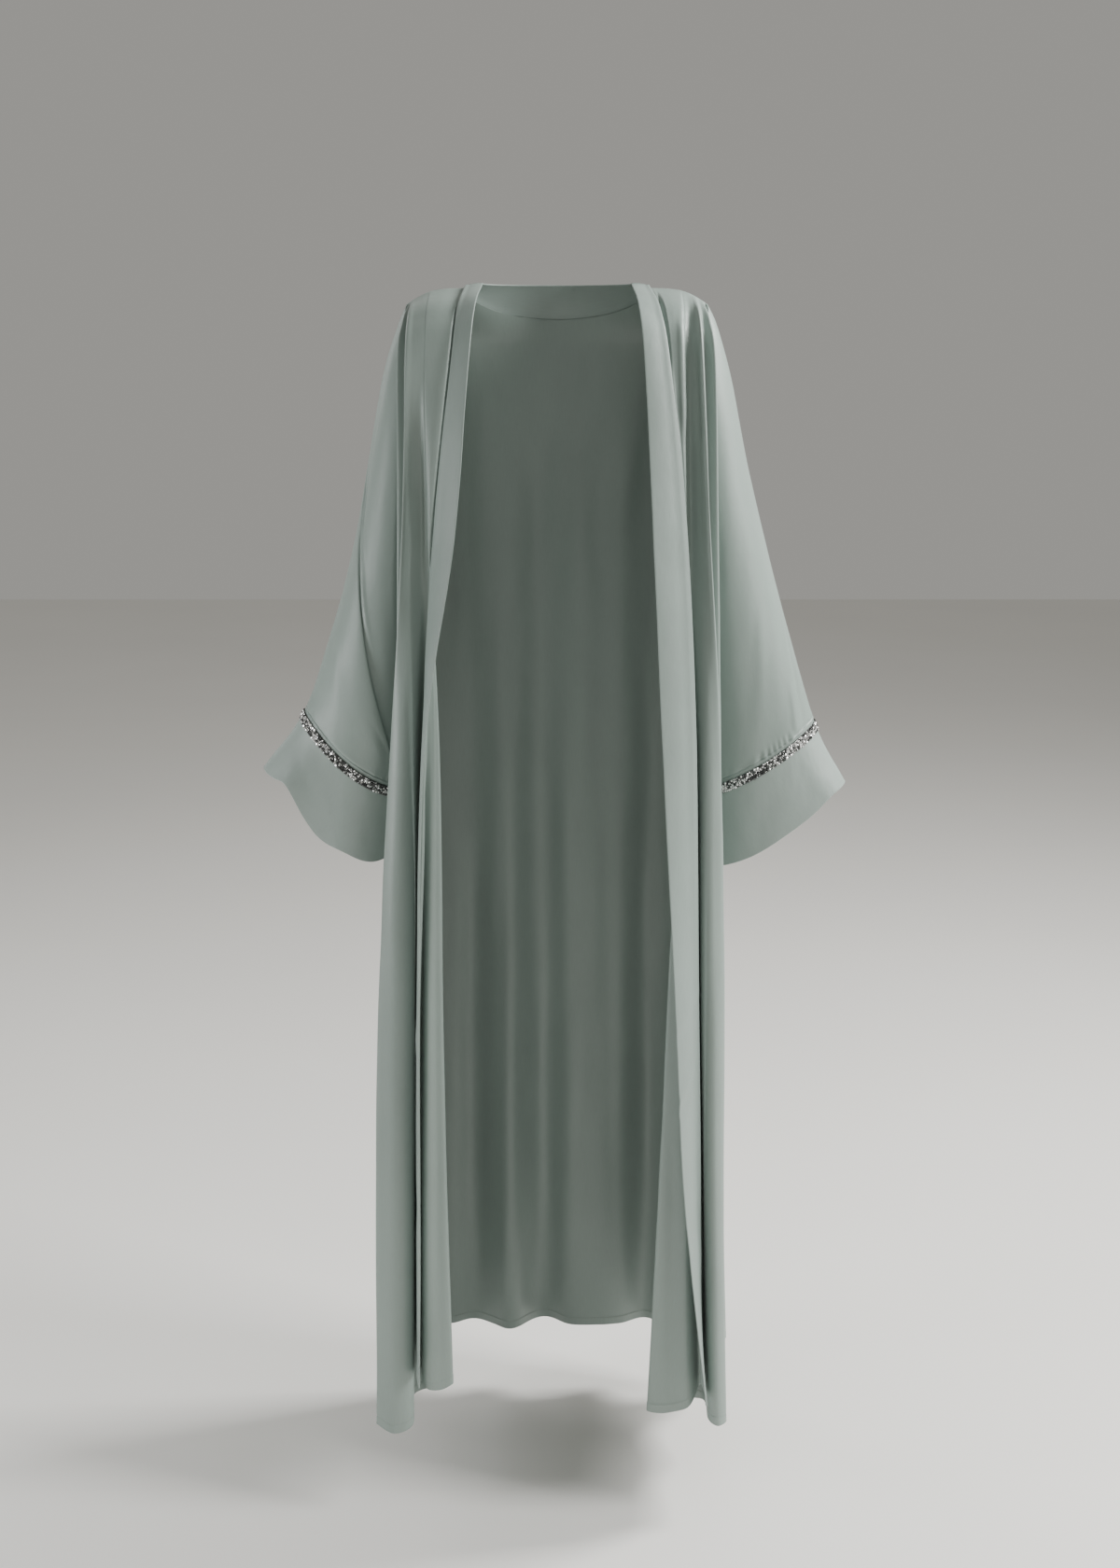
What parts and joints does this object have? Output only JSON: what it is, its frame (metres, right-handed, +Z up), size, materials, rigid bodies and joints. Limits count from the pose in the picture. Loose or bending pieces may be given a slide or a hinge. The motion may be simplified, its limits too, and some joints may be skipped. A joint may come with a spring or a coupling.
{
  "type": "abaya cloak",
  "caption": "Long open-front abaya cloak in sage green satin, worn form, with a front band and wide sleeves ending in plain cuffs under a jewelled trim",
  "frame": {"origin": "midway between the shoulders, at the height of the neck ends of the shoulder seams, where the wearer's shoulders hold the cloak", "axes": "+Z up, the wearer faces -Y, +X is the wearer's left"},
  "size_m": [0.736, 0.3491, 1.4328],
  "materials": {
    "sage_satin": "sage green satin-backed crepe, soft sheen",
    "sage_band": "the same cloth doubled, pressed flat",
    "sage_cuff": "the same cloth doubled, slightly paler and smooth",
    "rhinestone_trim": "close-set clear stones in silver settings"
  },
  "bodies": {
    "root": {"back": "sage_satin", "front_left": "sage_satin", "front_right": "sage_satin", "band_left": "sage_band", "band_right": "sage_band", "band_neck": "sage_band", "sleeve_left": "sage_satin", "sleeve_right": "sage_satin", "cuff_left": "sage_cuff", "cuff_right": "sage_cuff", "trim_left": "rhinestone_trim", "trim_right": "rhinestone_trim"}
  },
  "joints": []
}
